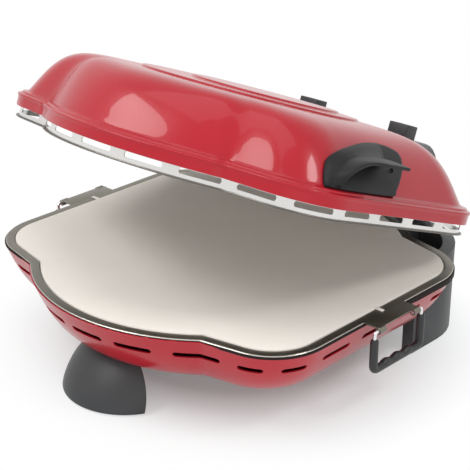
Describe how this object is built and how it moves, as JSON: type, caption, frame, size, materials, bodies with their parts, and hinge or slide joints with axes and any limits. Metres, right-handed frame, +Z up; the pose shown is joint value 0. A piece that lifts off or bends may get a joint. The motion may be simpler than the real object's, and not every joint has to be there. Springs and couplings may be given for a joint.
{
  "type": "electric pizza maker",
  "caption": "Countertop electric pizza oven with a lobed stone, an enamelled bowl and a hinged dome lid with a side grip.",
  "frame": {"origin": "centre of the bounding box on the table, with the lid as it stands", "axes": "+Z up, -Y to the round front edge, +Y to the hinge, +X to the side with the lid's grip"},
  "size_m": [0.3816, 0.3736, 0.2623],
  "materials": {
    "red_enamel": "gloss",
    "gasket_rubber": "matte",
    "tray_steel": "satin",
    "stone": "matte",
    "bright_steel": "polished",
    "plated_steel": "satin",
    "heater_sheath": "matte",
    "ceramic_white": "matte",
    "grey_paint": "satin",
    "black_plastic": "satin",
    "grip_plastic": "satin",
    "rest_plastic": "satin",
    "pad_rubber": "matte",
    "wire_sleeve": "woven glass",
    "chrome_wire": "polished",
    "lamp_amber": "gloss"
  },
  "bodies": {
    "base": {"base_shell": "red_enamel", "rim_gasket": "gasket_rubber", "tray": "tray_steel", "pizza_stone": "stone", "lower_reflector": "bright_steel", "reflector_spacers": "plated_steel", "lower_heater": "heater_sheath", "lower_heater_brackets": "plated_steel", "lower_cutout": "ceramic_white", "bottom_cover": "grey_paint", "bottom_screws": "plated_steel", "front_foot": "black_plastic", "rear_leg_left": "black_plastic", "rear_leg_right": "black_plastic", "rear_housing": "black_plastic", "foot_pads": "pad_rubber", "hinge_pin_left": "plated_steel", "hinge_pin_right": "plated_steel", "terminal_block": "ceramic_white", "base_wires": "wire_sleeve", "cord_gland": "gasket_rubber", "thermostat": "ceramic_white", "dial_plate": "bright_steel", "lamp_lens": "lamp_amber"},
    "lid": {"lid_shell": "red_enamel", "lid_skirt": "bright_steel", "lid_reflector": "bright_steel", "upper_heater": "heater_sheath", "upper_heater_brackets": "plated_steel", "upper_cutout": "ceramic_white", "lid_wires": "wire_sleeve", "lid_grip": "black_plastic", "lid_rear_housing": "black_plastic", "lid_rest_left": "rest_plastic", "lid_rest_right": "rest_plastic", "hinge_arm_left": "black_plastic", "hinge_arm_right": "black_plastic", "arm_screws": "plated_steel"},
    "bail_left": {"bail_wire_left": "chrome_wire", "bail_sleeve_left": "grip_plastic"},
    "bail_right": {"bail_wire_right": "chrome_wire", "bail_sleeve_right": "grip_plastic"},
    "knob": {"thermostat_knob": "black_plastic"}
  },
  "joints": [
    {"name": "lid_hinge", "type": "hinge", "parent": "base", "child": "lid", "pos_m": [0, 0.16616, 0.0835], "axis": [-1, 0, 0], "range_deg": [-21.3, 158.7]},
    {"name": "bail_left_swing", "type": "hinge", "parent": "base", "child": "bail_left", "pos_m": [-0.1874, -0.01434, 0.0815], "axis": [0, 1, 0], "range_deg": [-8, 120]},
    {"name": "bail_right_swing", "type": "hinge", "parent": "base", "child": "bail_right", "pos_m": [0.1874, -0.01434, 0.0815], "axis": [0, -1, 0], "range_deg": [-8, 120]},
    {"name": "thermostat_turn", "type": "hinge", "parent": "base", "child": "knob", "pos_m": [-0.143, 0.08966, 0.017], "axis": [-1, 0, 0], "range_deg": [0, 270]}
  ]
}
